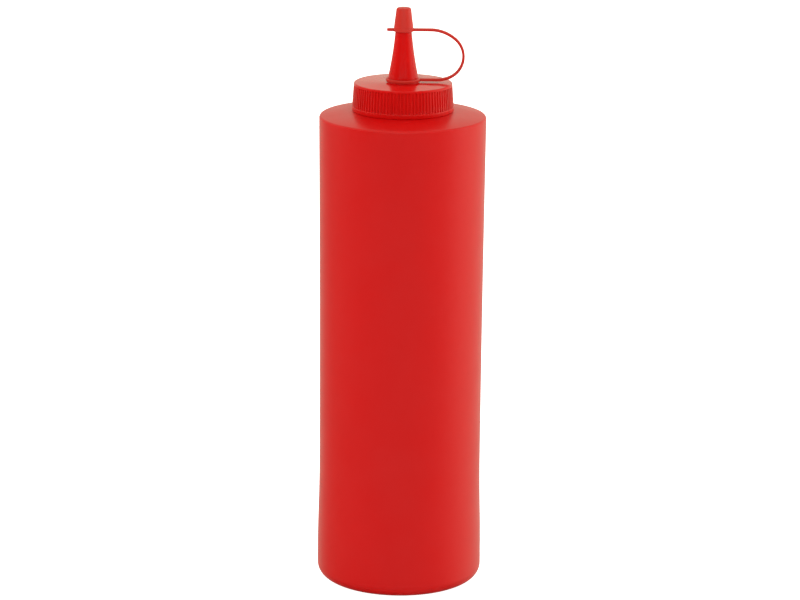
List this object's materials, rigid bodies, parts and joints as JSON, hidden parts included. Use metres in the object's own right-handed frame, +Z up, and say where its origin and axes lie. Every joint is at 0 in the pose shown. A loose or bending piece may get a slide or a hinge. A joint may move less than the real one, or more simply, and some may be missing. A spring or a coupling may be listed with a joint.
{
  "type": "squeeze bottle",
  "caption": "Tall upright sauce squeeze bottle with a ribbed screw lid, a tapered nozzle and a tip cap held by a looped strap.",
  "frame": {"origin": "on the bottle's axis, in the plane that its foot stands on", "axes": "+Z up along the bottle's axis; the looped strap stands out towards +X and the pull tab towards -X"},
  "size_m": [0.0706, 0.0706, 0.2489],
  "materials": {
    "bottle_wall": "satin blow-moulded soft polyethylene, red",
    "lid_moulding": "semi-gloss injection-moulded polyethylene, red",
    "tip_cap_moulding": "semi-gloss injection-moulded soft polyethylene, red"
  },
  "bodies": {
    "root": {"bottle": "bottle_wall", "lid": "lid_moulding", "tip_cap": "tip_cap_moulding"}
  },
  "joints": []
}
